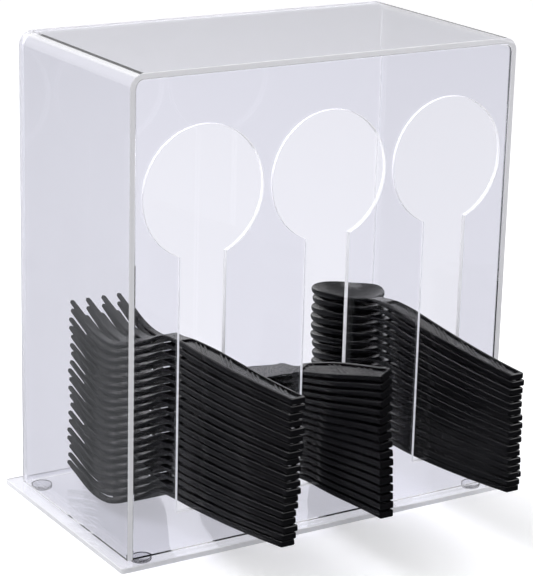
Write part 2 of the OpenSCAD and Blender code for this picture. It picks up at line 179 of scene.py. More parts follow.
class Tree(Nodes):
    """A geometry node tree in the making, with named inputs."""

    def __init__(self, name: str) -> None:
        """Starts an empty tree with a geometry output.

        Args:
            name: the tree's name.
        """
        super().__init__(bpy.data.node_groups.new(name, "GeometryNodeTree"))
        self.group.interface.new_socket("Geometry", in_out="OUTPUT", socket_type="NodeSocketGeometry")
        self.start, self.end = self.node("NodeGroupInput"), self.node("NodeGroupOutput")
        self.names: dict[str, str] = {}

    def size(self, name: str, kind: str = "NodeSocketFloat") -> Value:
        """Adds a named input of this socket type and returns what it gives."""
        item = self.group.interface.new_socket(name, in_out="INPUT", socket_type=kind)
        self.names[name] = item.identifier
        return Value(self, self.start.outputs[name])

    def sizes(self, *names: str) -> list[Value]:
        """Adds named inputs for numbers and returns what they give."""
        return [self.size(name) for name in names]

    def pile(self, points: bpy.types.Node, shape: bpy.types.NodeSocket, **more: object) -> bpy.types.Node:
        """Adds a node that puts a shape on points, with more of its inputs by name."""
        return self.node("GeometryNodeInstanceOnPoints",
                         {"Points": points.outputs[0], "Instance": shape, **more})

    def finish(self, laid: bpy.types.Node, material: Value) -> None:
        """Ends the tree in Realize Instances and Set Material.

        Args:
            laid: the node that lays out the instances.
            material: the material input.
        """
        real = self.node("GeometryNodeRealizeInstances", {0: laid.outputs[0]})
        dressed = self.node("GeometryNodeSetMaterial", {"Geometry": real.outputs[0], "Material": material})
        self.group.links.new(dressed.outputs[0], self.end.inputs[0])

    def bake(self, name: str, values: dict[str, object]) -> bpy.types.Object:
        """Runs the tree on an empty mesh and keeps the result as a plain mesh.

        Args:
            name: name of the new object.
            values: input name to value.

        Returns:
            An object at the origin with the tree's result as its mesh.
        """
        host = bpy.data.objects.new(name + ".host", bpy.data.meshes.new(name + ".host"))
        bpy.context.scene.collection.objects.link(host)
        modifier = host.modifiers.new("tree", "NODES")
        modifier.node_group = self.group
        for key, value in values.items():
            modifier[self.names[key]] = value
        mesh = evaluated_mesh(host)
        bpy.data.objects.remove(host)
        return add_object(name, mesh)


def evaluated_mesh(obj: bpy.types.Object) -> bpy.types.Mesh:
    """Returns a plain mesh of what an object shows with its modifiers."""
    bpy.context.view_layer.update()
    graph = bpy.context.evaluated_depsgraph_get()
    shown = obj.evaluated_get(graph)
    return bpy.data.meshes.new_from_object(shown, preserve_all_data_layers=True, depsgraph=graph)


def add_object(name: str, mesh: bpy.types.Mesh) -> bpy.types.Object:
    """Links a new object with this mesh to the scene and returns it."""
    obj = bpy.data.objects.new(name, mesh)
    mesh.name = name
    bpy.context.scene.collection.objects.link(obj)
    return obj


# ---------------------------------------------------------------- Outlines and plates


def inset(loop: Loop, distance: float) -> Loop:
    """Moves a closed outline sideways.

    Args:
        loop: points with the material on the left of the way along them.
        distance: how far the outline moves into the material.

    Returns:
        The moved outline, with as many points.
    """
    p = np.array(loop, float)
    ahead = np.roll(p, -1, axis=0) - p
    ahead /= np.linalg.norm(ahead, axis=1)[:, None]
    behind = np.roll(ahead, 1, axis=0)
    left = np.stack([-ahead[:, 1] - behind[:, 1], ahead[:, 0] + behind[:, 0]], axis=1)
    reach = 1 + (ahead * behind).sum(axis=1)
    return [tuple(q) for q in p + distance * left / np.maximum(reach, 0.4)[:, None]]


def arc(cx: float, cy: float, r: float, a0: float, a1: float, n: int) -> Loop:
    """Returns n + 1 points on an arc from a0 to a1 degrees."""
    angles = [math.radians(a0 + (a1 - a0) * i / n) for i in range(n + 1)]
    return [(cx + r * math.cos(a), cy + r * math.sin(a)) for a in angles]


def rounded_steps(size: float, n: int) -> list[tuple[float, float]]:
    """Returns (inset, height) pairs of a rounded or chamfered lower edge, from the flat face up."""
    turns = [math.pi / 2 * i / n for i in range(n + 1)]
    return [(size * (1 - math.sin(a)), size * (1 - math.cos(a))) for a in turns]


@dataclass
class Plate:
    """A flat plate with outlines, rounded edges and an optional pocket in its upper face.

    Args:
        outlines: the outer outline counter-clockwise, and holes clockwise.
        thick: the plate's thickness.
        edge: size of the rounding along its edges.
        rounds: steps of that rounding.
        top_edge: size of the rounding along the upper edges, if it is another.
        pocket: outline of the pocket, clockwise, or None.
        depth: the pocket's depth.
        pocket_edge: size of the rounding along the pocket's rim.
    """

    outlines: list[Loop]
    thick: float
    edge: float
    rounds: int = 1
    top_edge: Optional[float] = None
    pocket: Optional[Loop] = None
    depth: float = 0.0
    pocket_edge: float = 0.1

    def _ring(self, bm: bmesh.types.BMesh, loop: Loop, z: float) -> list[bmesh.types.BMVert]:
        """Adds one ring of points at a height and returns them."""
        return [bm.verts.new((x, y, z)) for x, y in loop]

    def _wall(self, bm: bmesh.types.BMesh, loop: Loop,
              steps: Sequence[tuple[float, float]]) -> tuple[list, list]:
        """Adds a wall along an outline and returns its first and last ring."""
        rings = [self._ring(bm, inset(loop, d) if d else loop, z) for d, z in steps]
        n = len(loop)
        for low, high in zip(rings, rings[1:]):
            for i in range(n):
                j = (i + 1) % n
                bm.faces.new((low[i], low[j], high[j], high[i]))
        return rings[0], rings[-1]

    def _cap(self, bm: bmesh.types.BMesh, rings: list[list[bmesh.types.BMVert]]) -> None:
        """Closes the space between rings of one height."""
        points = [v for ring in rings for v in ring]
        for face in tessellate_polygon([[v.co for v in ring] for ring in rings]):
            corners = [points[i] for i in face]
            if len(set(corners)) == 3:
                bm.faces.new(corners)

    def build(self) -> bmesh.types.BMesh:
        """Returns the plate as a mesh in millimetres, from z = 0 up to its thickness."""
        bm = bmesh.new()
        up = rounded_steps(self.edge, self.rounds)
        down = up if self.top_edge is None else rounded_steps(self.top_edge, 1)
        steps = up + [(d, self.thick - z) for d, z in reversed(down)]
        ends = [self._wall(bm, loop, steps) for loop in self.outlines]
        tops = [last for _, last in ends]
        if self.pocket:
            rim = [(d, self.thick - z) for d, z in reversed(rounded_steps(self.pocket_edge, 1))]
            floor, top = self._wall(bm, self.pocket, [(0.0, self.thick - self.depth)] + rim)
            self._cap(bm, [floor])
            tops.append(top)
        self._cap(bm, [first for first, _ in ends])
        self._cap(bm, tops)
        bmesh.ops.recalc_face_normals(bm, faces=bm.faces)
        return bm


def to_mesh(bm: bmesh.types.BMesh, name: str, smooth_below: float) -> bpy.types.Mesh:
    """Turns a bmesh into a mesh in metres, with sharp edges marked.

    Args:
        bm: the mesh in millimetres. It is freed.
        name: name of the new mesh.
        smooth_below: edges that turn by fewer degrees are smooth.

    Returns:
        The new mesh.
    """
    bmesh.ops.scale(bm, vec=(MM,) * 3, verts=bm.verts)
    mesh = bpy.data.meshes.new(name)
    bm.to_mesh(mesh)
    bm.free()
    mesh.shade_smooth()
    mesh.set_sharp_from_angle(angle=math.radians(smooth_below))
    return mesh


def weigh_normals(obj: bpy.types.Object) -> None:
    """Lets large faces keep their own direction, and keeps the result as a plain mesh."""
    modifier = obj.modifiers.new("flat faces stay flat", "WEIGHTED_NORMAL")
    modifier.keep_sharp = True
    mesh = evaluated_mesh(obj)
    obj.modifiers.clear()
    old, obj.data = obj.data, mesh
    name = old.name
    bpy.data.meshes.remove(old)
    mesh.name = name


# ---------------------------------------------------------------- Finishes


class Slot(Enum):
    """The record's material slots."""

    ACRYLIC = "clear_acrylic"
    BUMPER = "clear_bumper"
    PLASTIC = "black_plastic"


@dataclass(frozen=True)
class ClearFinish:
    """Clear polished plastic that bends light and lets lamps through.

    Args:
        name: the material's name.
        tint: colour that one pass through the sheet leaves.
        shade: share of a lamp's light that passes.
        roughness: roughness of the surface.
        frost: share of the surface that scatters light, as a sawn edge does.
        glow: strength of a painted glow, an emission that makes the surface light though no lamp shines on it.
            It stands in for light that the sheet pipes to the surface, as it does to a sawn edge.
        painted_glow_colour: colour of that painted glow.
        ior: index of refraction.
    """

    name: str
    tint: Colour
    shade: Colour
    roughness: float = 0.0
    frost: float = 0.0
    glow: float = 0.0
    painted_glow_colour: Colour = (0.96, 0.96, 1.0)
    ior: float = 1.49

    def material(self) -> bpy.types.Material:
        """Builds the material."""
        nodes = Shader(bpy.data.materials.new(self.name))
        # The emission is a painted glow: it makes the surface light though no lamp shines on it.
        glass = nodes.node("ShaderNodeBsdfPrincipled", {
            "Base Color": (*self.tint, 1), "Roughness": self.roughness, "IOR": self.ior,
            "Transmission Weight": 1 - self.frost,
            "Emission Color": (*self.painted_glow_colour, 1), "Emission Strength": self.glow})
        clear = nodes.node("ShaderNodeBsdfTransparent", {"Color": (*self.shade, 1)})
        return nodes.finish(nodes.mix(nodes.ray("Is Shadow Ray"), glass, clear))


@dataclass(frozen=True)
class PlasticFinish:
    """Glossy moulded black plastic with faint flow marks.

    Args:
        name: the material's name.
        dark: the darker of its two shades.
        pale: the paler of its two shades.
        smooth: roughness where it is most polished.
        rough: roughness where it is most worn.
        grain: size of the flow marks in metres.
        stretch: scale of the flow marks along the pieces, against the scale across them.
        bump: height of the flow marks in metres.
        relief: share of that height that shows.
        gloss: level of its reflections.
        ior: index of refraction.
    """

    name: str
    dark: Colour
    pale: Colour
    smooth: float = 0.14
    rough: float = 0.2
    grain: float = 0.009
    stretch: float = 0.35
    bump: float = 0.00002
    relief: float = 0.02
    gloss: float = 0.3
    ior: float = 1.5

    def material(self) -> bpy.types.Material:
        """Builds the material."""
        nodes = Shader(bpy.data.materials.new(self.name))
        place = nodes.node("ShaderNodeTexCoord").outputs["Object"]
        along = nodes.node("ShaderNodeMapping", {"Vector": place, "Scale": (1.0, self.stretch, 1.0)})
        noise = nodes.node("ShaderNodeTexNoise", {"Vector": along.outputs[0],
                                                  "Scale": 1 / self.grain, "Detail": 2.0})
        marks = Value(nodes, noise.outputs["Fac"])
        wear = nodes.value("ShaderNodeMapRange", {"Value": marks, "From Min": 0.3, "From Max": 0.7,
                                                  "To Min": self.smooth, "To Max": self.rough})
        relief = nodes.value("ShaderNodeBump", {"Strength": self.relief, "Distance": self.bump,
                                                "Height": marks})
        return nodes.finish(nodes.node("ShaderNodeBsdfPrincipled", {
            "Base Color": nodes.blend(marks, self.dark, self.pale), "Roughness": wear, "Normal": relief,
            "IOR": self.ior, "Specular IOR Level": self.gloss}))


ACRYLIC = ClearFinish("clear acrylic", (0.945, 0.945, 0.975), (0.93, 0.93, 0.96))
# The cut edges are frosted and have a painted glow, which makes them light though no lamp shines on them.
EDGE = ClearFinish("acrylic edge", (0.93, 0.93, 0.96), (0.9, 0.9, 0.93), roughness=0.25, frost=0.7,
                   glow=0.2)
BUMPER = ClearFinish("clear bumper", (0.90, 0.90, 0.93), (0.85, 0.85, 0.88), roughness=0.12, ior=1.47)
PLASTIC = PlasticFinish("black plastic", (0.003, 0.003, 0.0035), (0.0045, 0.0045, 0.0055))


# ---------------------------------------------------------------- Case and base


@dataclass
class Case:
    """The bent wrap, the two upright panels, the base plate and the bumper feet.

    Args:
        finishes: the materials of a sheet's faces and of its cut edges.
        margin: width of the band along the front panel's outline that holds none of the keyholes.
    """

    finishes: tuple[bpy.types.Material, bpy.types.Material]
    width: float = 194.0
    depth: float = 103.0
    height: float = 211.0
    sheet: float = 2.5
    bend_r: float = 6.5
    joint_gap: float = 0.1
    seam: float = 0.05
    chamfer: float = 0.25
    base_thick: float = 2.5
    base_lip: float = 6.0
    base_corner_r: float = 1.5
    foot_d: float = 9.5
    foot_h: float = 2.2
    foot_edge_r: float = 0.9
    foot_inset_x: float = 15.0
    foot_inset_y: float = 11.0
    window_d: float = 57.4
    window_z: float = 158.5
    window_pitch: float = 62.0
    slot_w: float = 22.0
    slot_floor: float = 17.7
    arc_steps: int = 24
    margin: float = 2.0

    def __post_init__(self) -> None:
        """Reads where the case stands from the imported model."""
        self.front_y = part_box("front_panel")[0].y / MM
        self.deck_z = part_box("base_plate")[1].z / MM

    @property
    def inner_w(self) -> float:
        """Width between the side walls."""
        return self.width - 2 * self.sheet

    @property
    def inner_h(self) -> float:
        """Height under the top."""
        return self.height - self.sheet

    def _arch(self, w: float, h: float, r: float, foot: float = 0.0) -> Loop:
        """Returns an outline with two rounded upper corners, counter-clockwise from its left foot."""
        return [(-w / 2, foot), (w / 2, foot),
                *arc(w / 2 - r, h - r, r, 0, 90, self.arc_steps),
                *arc(r - w / 2, h - r, r, 90, 180, self.arc_steps)]

    def _keyhole(self, x: float) -> Loop:
        """Returns the clockwise outline of one window with its slot."""
        r = self.window_d / 2
        open_a = math.degrees(math.asin(self.slot_w / 2 / r))
        half = self.slot_w / 2
        return [(x - half, self.slot_floor),
                *arc(x, self.window_z, r, 270 - open_a, open_a - 90, 5 * self.arc_steps),
                (x + half, self.slot_floor)]

    def _stand(self, bm: bmesh.types.BMesh, y: float, thick: float) -> bmesh.types.BMesh:
        """Stands a flat plate up, with its front face at y behind the front of the case."""
        bmesh.ops.rotate(bm, verts=bm.verts, cent=(0, 0, 0), matrix=Matrix.Rotation(math.pi / 2, 3, "X"))
        bmesh.ops.translate(bm, verts=bm.verts, vec=(0, self.front_y + y + thick, self.deck_z))
        return bm

    def _piece(self, name: str, bm: bmesh.types.BMesh, node: str,
               thin: Callable[[bpy.types.MeshPolygon], bool]) -> bpy.types.Object:
        """Makes a dressed piece that stands for one node.

        Args:
            name: the piece's name.
            bm: its mesh in millimetres, in the part's frame.
            node: the node that it stands for.
            thin: says whether a face is a cut edge of the sheet.

        Returns:
            The piece.
        """
        obj = add_object(name, to_mesh(bm, name, 20))
        for finish in self.finishes:
            obj.data.materials.append(finish)
        for face in obj.data.polygons:
            face.material_index = int(thin(face))
        weigh_normals(obj)
        return dress(obj, "dispenser", Slot.ACRYLIC, [node])

    def wrap(self) -> bpy.types.Object:
        """Builds the sheet that is bent over both sides and the top."""
        r_in = self.bend_r - self.sheet
        outer = self._arch(self.width, self.height, self.bend_r, self.seam)
        inner = self._arch(self.inner_w, self.inner_h, r_in, self.seam)
        outline = outer[1:] + [outer[0], inner[0]] + inner[:1:-1] + [inner[1]]
        bm = Plate([outline], self.depth, self.chamfer).build()
        return self._piece("bent_wrap", self._stand(bm, 0, self.depth), "case_wrap",
                           lambda face: abs(face.normal.y) > 0.5)

    def _panel(self, holes: list[Loop]) -> bmesh.types.BMesh:
        """Returns a flat panel that fits in the wrap, with holes."""
        r = self.bend_r - self.sheet + self.joint_gap
        outline = self._arch(self.inner_w - 2 * self.joint_gap, self.inner_h - self.joint_gap, r, self.seam)
        return Plate([outline, *holes], self.sheet, self.chamfer).build()

    def front(self) -> bpy.types.Object:
        """Builds the front panel with its three keyholes."""
        bm = self._panel([self._keyhole(k * self.window_pitch) for k in (-1, 0, 1)])
        return self._piece("keyhole_panel", self._stand(bm, 0, self.sheet), "front_panel", self._is_keyhole)

    def _is_keyhole(self, face: bpy.types.MeshPolygon) -> bool:
        """Says whether a face of the front panel is an edge of a keyhole, and not of the panel's outline."""
        x, z = abs(face.center.x) / MM, face.center.z / MM - self.deck_z
        low, high = self.margin, self.inner_h - self.margin
        return abs(face.normal.y) < 0.9 and x < self.inner_w / 2 - self.margin and low < z < high

    def back(self) -> bpy.types.Object:
        """Builds the plain back panel."""
        bm = self._stand(self._panel([]), self.depth - self.sheet, self.sheet)
        return self._piece("plain_panel", bm, "back_panel", lambda face: abs(face.normal.y) < 0.9)

    def base(self) -> bpy.types.Object:
        """Builds the base plate."""
        w, d, r = self.width / 2 + self.base_lip, self.depth / 2 + self.base_lip, self.base_corner_r
        corners = [(1, -1, -90), (1, 1, 0), (-1, 1, 90), (-1, -1, 180)]
        outline = [p for sx, sy, a in corners for p in arc(sx * (w - r), sy * (d - r), r, a, a + 90, 6)]
        bm = Plate([outline], self.base_thick, self.chamfer).build()
        bmesh.ops.translate(bm, verts=bm.verts, vec=(0, self.front_y + self.depth / 2, self.foot_h))
        return self._piece("foot_plate", bm, "base_plate", lambda face: abs(face.normal.z) < 0.9)

    def feet(self, finish: bpy.types.Material) -> bpy.types.Object:
        """Builds the bumper feet with a node tree that turns one up and puts it at four corners."""
        tree = Tree("bumper feet")
        blank, finish_in = tree.size("Blank", "NodeSocketObject"), tree.size("Finish", "NodeSocketMaterial")
        span_x, span_y, middle = tree.sizes("Span X", "Span Y", "Middle")
        corners = tree.node("GeometryNodeMeshGrid", {0: span_x, 1: span_y, 2: 2, 3: 2})
        placed = tree.node("GeometryNodeSetPosition", {"Geometry": corners.outputs[0],
                                                       "Offset": tree.vector(0.0, middle, 0.0)})
        shape = tree.node("GeometryNodeObjectInfo", {"Object": blank})
        tree.finish(tree.pile(placed, shape.outputs["Geometry"]), finish_in)
        host = add_object("bumper_blank", to_mesh(self._foot(), "bumper_blank", 40))
        obj = tree.bake("bumper_feet_clear", {
            "Blank": host, "Finish": finish,
            "Span X": (self.width + 2 * (self.base_lip - self.foot_inset_x)) * MM,
            "Span Y": (self.depth + 2 * (self.base_lip - self.foot_inset_y)) * MM,
            "Middle": (self.front_y + self.depth / 2) * MM})
        bpy.data.objects.remove(host)
        return dress(obj, "dispenser", Slot.BUMPER, ["bumper_feet"])

    def _foot(self) -> bmesh.types.BMesh:
        """Returns one bumper foot."""
        return Plate([arc(0, 0, self.foot_d / 2, 0, 360, 48)[:-1]], self.foot_h - self.seam,
                     self.foot_edge_r, rounds=6, top_edge=0.1).build()


def dress(obj: bpy.types.Object, body: str, slot: Slot, nodes: Sequence[str]) -> bpy.types.Object:
    """Puts a finished piece on its body and lets it stand for its nodes.

    Args:
        obj: the piece.
        body: name of the body it rides on.
        slot: its material slot; not used.
        nodes: the nodes that it replaces.

    Returns:
        The piece.
    """
    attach(obj, body)
    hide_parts(*nodes)
    log.info("%s rides on %s and stands for %d node(s), %d faces",
             obj.name, body, len(nodes), len(obj.data.polygons))
    return obj


# ---------------------------------------------------------------- Cutlery


def walk(stretches: Sequence[Stretch], finer: int = 4) -> np.ndarray:
    """Follows bent stretches from a level start.

    Args:
        stretches: (length, bend in degrees, steps) for each stretch.
        finer: how many parts each step is cut into.

    Returns:
        Rows of distance, height and heading in radians.
    """
    u, z, heading = 0.0, 0.0, 0.0
    rows = [(u, z, heading)]
    for length, bend, count in stretches:
        n = count * finer
        turn = math.radians(bend) / n
        for _ in range(n):
            middle = heading + turn / 2
            u, z = u + length / n * math.cos(middle), z + length / n * math.sin(middle)
            heading += turn
            rows.append((u, z, heading))
    return np.array(rows)


def ease(a: float, b: float, v: float) -> float:
    """Returns a smooth step from 0 at a to 1 at b."""
    t = min(1.0, max(0.0, (v - a) / (b - a)))
    return t * t * (3 - 2 * t)


def flow(stations: Sequence[tuple[float, float, float]], n: int = 8) -> tuple[Loop, Loop]:
    """Runs smooth edges through stations.

    Args:
        stations: (y, reach to the left, reach to the right), from the handle's end on.
        n: parts between two stations.

    Returns:
        The right edge upwards and the left edge downwards.
    """
    rows = []
    for a, b in zip(stations, stations[1:]):
        for j in range(n):
            t = j / n
            e = ease(0, 1, t)
            rows.append((a[0] + t * (b[0] - a[0]), *(p + e * (q - p) for p, q in zip(a[1:], b[1:]))))
    rows.append(stations[-1])
    return [(r[2], r[0]) for r in rows], [(-r[1], r[0]) for r in reversed(rows)]


def split(bm: bmesh.types.BMesh, at: Point, normal: Point) -> None:
    """Cuts the faces of a mesh along the plane through a point."""
    bmesh.ops.bisect_plane(bm, geom=bm.verts[:] + bm.edges[:] + bm.faces[:], dist=1e-5,
                           plane_co=at, plane_no=normal)


@dataclass
class Handle:
    """The handle that forks, knives and spoons share, in millimetres.

    Args:
        width: its width where it starts to narrow towards the neck.
        end_w: its width at its end.
        neck_w: its width at the neck.
        flare: how far before the neck it starts to narrow.
        corner: radius of the corners at its end.
        thick: its thickness.
        thinning: how far before the neck it starts to thin.
        recess: depth of the recess in its upper face.
        rim: width of the rim around that recess.
        setback: how far before the neck the recess ends.
        edge: size of the rounding along its edges.
        rounds: steps of that rounding.
        pocket_r: radius of the recess's far corners.
    """

    width: float = 9.3
    end_w: float = 6.8
    neck_w: float = 6.4
    flare: float = 32.0
    corner: float = 0.9
    thick: float = 2.7
    thinning: float = 14.0
    recess: float = 0.9
    rim: float = 1.1
    setback: float = 10.0
    edge: float = 0.6
    rounds: int = 3
    pocket_r: float = 1.0

    def sides(self, y_end: float, y_neck: float, rim: float = 0.0,
              head: Sequence[tuple[float, float, float]] = (), n: int = 8) -> tuple[Loop, Loop]:
        """Runs a handle's edges, with rounded corners at its end.

        Args:
            y_end: place of the handle's end.
            y_neck: place of its neck.
            rim: how far the edges are moved in.
            head: stations beyond the neck.
            n: parts between two stations.

        Returns:
            The right edge upwards and the left edge downwards.
        """
        end, c = y_end + rim, self.corner
        wide, narrow, neck = (w / 2 - rim for w in (self.width, self.end_w, self.neck_w))
        right, left = flow([(end + c, narrow, narrow), (y_neck - self.flare, wide, wide),
                            (y_neck - rim, neck, neck), *head], n)
        return (arc(narrow - c, end + c, c, -90, 0, 5)[:-1] + right,
                left[:-1] + arc(c - narrow, end + c, c, 180, 270, 5))

    def pocket(self, y_end: float, y_neck: float) -> Loop:
        """Returns the clockwise outline of the recess in the upper face."""
        right, left = self.sides(y_end, y_neck, self.rim)
        last, r = y_neck - self.setback, self.pocket_r
        right, left = ([p for p in side if p[1] < last - r - 0.3] for side in (right, left))
        x = float(np.interp(last - r, [y_neck - self.flare, y_neck - self.rim],
                            [self.width / 2 - self.rim, self.neck_w / 2 - self.rim]))
        top = arc(x - r, last - r, r, 0, 90, 5) + arc(r - x, last - r, r, 90, 180, 5)
        return list(reversed(right + top + left))


@dataclass
class Utensil:
    """One kind of cutlery, lying with its lowest point at the origin and its handle towards -Y."""

    handle: Handle = field(default_factory=Handle)
    name: str = "utensil"
    count: int = 1
    station: float = 2.5
    off_grid: float = 0.013

    def __post_init__(self) -> None:
        """Works out the side curve."""
        front, rear = walk(self.front_run()), walk(self.rear_run()) if self.rear_run() else np.zeros((1, 3))
        toward = np.array([(-u, z, -a) for u, z, a in reversed(front[1:])])
        self.side = np.vstack([toward, rear])
        self.end_y = float(self.side[0][0])
        self.tip_y = float(self.side[-1][0])

    def front_run(self) -> list[Stretch]:
        """Returns the stretches from the lowest point to the handle's end."""
        raise NotImplementedError

    def rear_run(self) -> list[Stretch]:
        """Returns the stretches from the lowest point to the tip."""
        return []

    def thickness(self, y: float) -> float:
        """Returns the thickness at y."""
        raise NotImplementedError

    def place(self, x: float, y: float, h: float) -> tuple[float, float, float]:
        """Bends a point of the flat blank onto the side curve.

        Args:
            x: place across the piece.
            y: place along it.
            h: height in the blank, from 0 to the handle's thickness.

        Returns:
            The point on the bent piece.
        """
        z = float(np.interp(y, self.side[:, 0], self.side[:, 1]))
        heading = float(np.interp(y, self.side[:, 0], self.side[:, 2]))
        height = h / self.handle.thick * self.thickness(y)
        return x, y - height * math.sin(heading), z + height * math.cos(heading)

    def bend(self, bm: bmesh.types.BMesh) -> None:
        """Cuts a flat blank at even stations and bends it onto the side curve."""
        low, high = self.end_y, self.tip_y
        for k in range(1, int((high - low) / self.station) + 1):
            y = low + k * self.station + self.off_grid
            if y < high - 0.3:
                split(bm, (0, y, 0), (0, 1, 0))
        for v in bm.verts:
            v.co = self.place(*v.co)

    def blank(self) -> bpy.types.Object:
        """Returns one piece as an object that the stack repeats."""
        h = self.handle
        bm = Plate([self.plan()], h.thick, h.edge, h.rounds, depth=h.recess,
                   pocket=h.pocket(self.end_y, self.neck_y)).build()
        ridges = Ridges().build(self)
        bm.from_mesh(ridges.data)
        bpy.data.objects.remove(ridges)
        self.bend(bm)
        self.add_head(bm)
        return add_object(self.name + "_blank", to_mesh(bm, self.name + "_blank", 38))

    def plan(self) -> Loop:
        """Returns the counter-clockwise outline of the flat blank."""
        raise NotImplementedError

    def add_head(self, bm: bmesh.types.BMesh) -> None:
        """Adds what isn't part of the bent blank."""


@dataclass
class Ridges:
    """Groups of slanted ridges on the floor of a handle's recess, in millimetres."""

    width: float = 1.0
    angle: float = 25.0
    pitch: float = 3.8
    count: int = 3
    group: float = 21.0
    start: float = 12.5

    def build(self, utensil: Utensil) -> bpy.types.Object:
        """Lays the ridges over a handle with a node tree.

        Args:
            utensil: the piece whose flat blank gets the ridges.

        Returns:
            An object with the ridges as its mesh.
        """
        tree = Tree("ridges")
        start, group, pitch, each, width, angle, floor = tree.sizes(
            "Start", "Group", "Pitch", "Each", "Width", "Angle", "Floor")
        low, high, flare, neck, narrow, wide, slim = tree.sizes(
            "Low", "High", "Flare", "Neck", "Narrow", "Wide", "Slim")
        total, finish = tree.size("Total", "NodeSocketInt"), tree.size("Finish", "NodeSocketMaterial")
        index = tree.value("GeometryNodeInputIndex")
        row = (index + 0.01).math("DIVIDE", each).math("FLOOR")
        place = index - row * each - (each - 1.0) * 0.5
        y = start + row * group + place * pitch
        half = tree.step(y, low, high, narrow, wide) + tree.step(y, flare, neck, wide, slim) - wide
        rod = tree.node("GeometryNodeMeshCylinder", {"Vertices": 10, "Radius": width * 0.5, "Depth": 1.0})
        lain = tree.node("GeometryNodeTransform", {"Geometry": rod.outputs["Mesh"],
                                                   "Rotation": (math.pi / 2, 0, 0)})
        line = tree.node("GeometryNodeMeshLine", {"Count": total, "Offset": (0, 0, 0)})
        points = tree.node("GeometryNodeSetPosition", {"Geometry": line.outputs[0],
                                                       "Position": tree.vector(0.0, y, floor)})
        turn = tree.value("FunctionNodeEulerToRotation", {0: tree.vector(0.0, 0.0, angle * -1.0)})
        length = half.math("DIVIDE", angle.math("SINE")) * 2.0
        size = tree.vector(1.0, length, 1.0)
        tree.finish(tree.pile(points, lain.outputs[0], Rotation=turn, Scale=size), finish)
        h, end, last = utensil.handle, utensil.end_y, utensil.neck_y
        groups = 1 + int((last - end - 2 * self.start) / self.group)
        return tree.bake(utensil.name + "_ridges", {
            "Start": end + self.start, "Group": self.group, "Pitch": self.pitch,
            "Total": groups * self.count, "Each": float(self.count), "Width": self.width,
            "Angle": math.radians(self.angle), "Floor": h.thick - h.recess,
            "Low": end + h.rim + h.corner, "High": last - h.flare, "Flare": last - h.flare,
            "Neck": last - h.rim, "Narrow": h.end_w / 2 - h.rim, "Wide": h.width / 2 - h.rim,
            "Slim": h.neck_w / 2 - h.rim})


@dataclass
class Fork(Utensil):
    """A fork with four tines."""

    name: str = "fork"
    count: int = 20
    grip: float = 131.0
    reach: float = 44.5
    neck: float = 30.0
    heel_l: float = 14.0
    heel_angle: float = 18.9
    ramp_l: float = 9.0
    knee_l: float = 6.0
    knee_angle: float = 26.3
    bow_l: float = 45.0
    bow_angle: float = 2.0
    sag_angle: float = 3.8
    sweep_l: float = 27.5
    sweep_angle: float = 31.2
    head_w: float = 26.0
    shoulder: float = 34.0
    head_t: float = 1.8
    tip_t: float = 1.2
    tine_l: float = 36.0
    tine_gap: float = 3.0
    tip_w: float = 2.2

    @property
    def neck_y(self) -> float:
        """Place of the neck."""
        return -self.neck

    def front_run(self) -> list[Stretch]:
        """Returns the stretches from the lowest point to the handle's end."""
        rest = self.grip - self.heel_l - self.ramp_l - self.knee_l - self.bow_l
        return [(self.heel_l, self.heel_angle, 5), (self.ramp_l, 0, 1), (self.knee_l, -self.knee_angle, 3),
                (self.bow_l, -self.bow_angle, 3), (rest, self.sag_angle, 5)]

    def rear_run(self) -> list[Stretch]:
        """Returns the stretches from the lowest point to the tines' tips."""
        return [(self.sweep_l, self.sweep_angle, 6), (self.reach - self.sweep_l, 0, 1)]

    def thickness(self, y: float) -> float:
        """Returns the thickness at y, which falls along the neck and again along the tines."""
        h = self.handle
        return (h.thick + (self.head_t - h.thick) * ease(self.neck_y - h.thinning, self.neck_y, y)
                + (self.tip_t - self.head_t) * ease(self.tip_y - self.tine_l, self.tip_y, y))

    def plan(self) -> Loop:
        """Returns the outline of handle, shoulders and tines."""
        hw, r = self.head_w / 2, self.tip_w / 2
        square = self.tip_y - r
        pitch = (self.head_w - self.tip_w) / 3
        root = self.tip_y - self.tine_l + self.tine_gap / 2
        right, left = self.handle.sides(self.end_y, self.neck_y, 0.0,
                                        [(self.neck_y + self.shoulder, hw, hw), (square, hw, hw)])
        top: Loop = []
        for k in (1.5, 0.5, -0.5, -1.5):
            top += arc(k * pitch, square, r, 0, 180, 8)
            if k > -1:
                top += arc((k - 0.5) * pitch, root, self.tine_gap / 2, 0, -180, 8)
        return right[:-1] + top + left[1:]


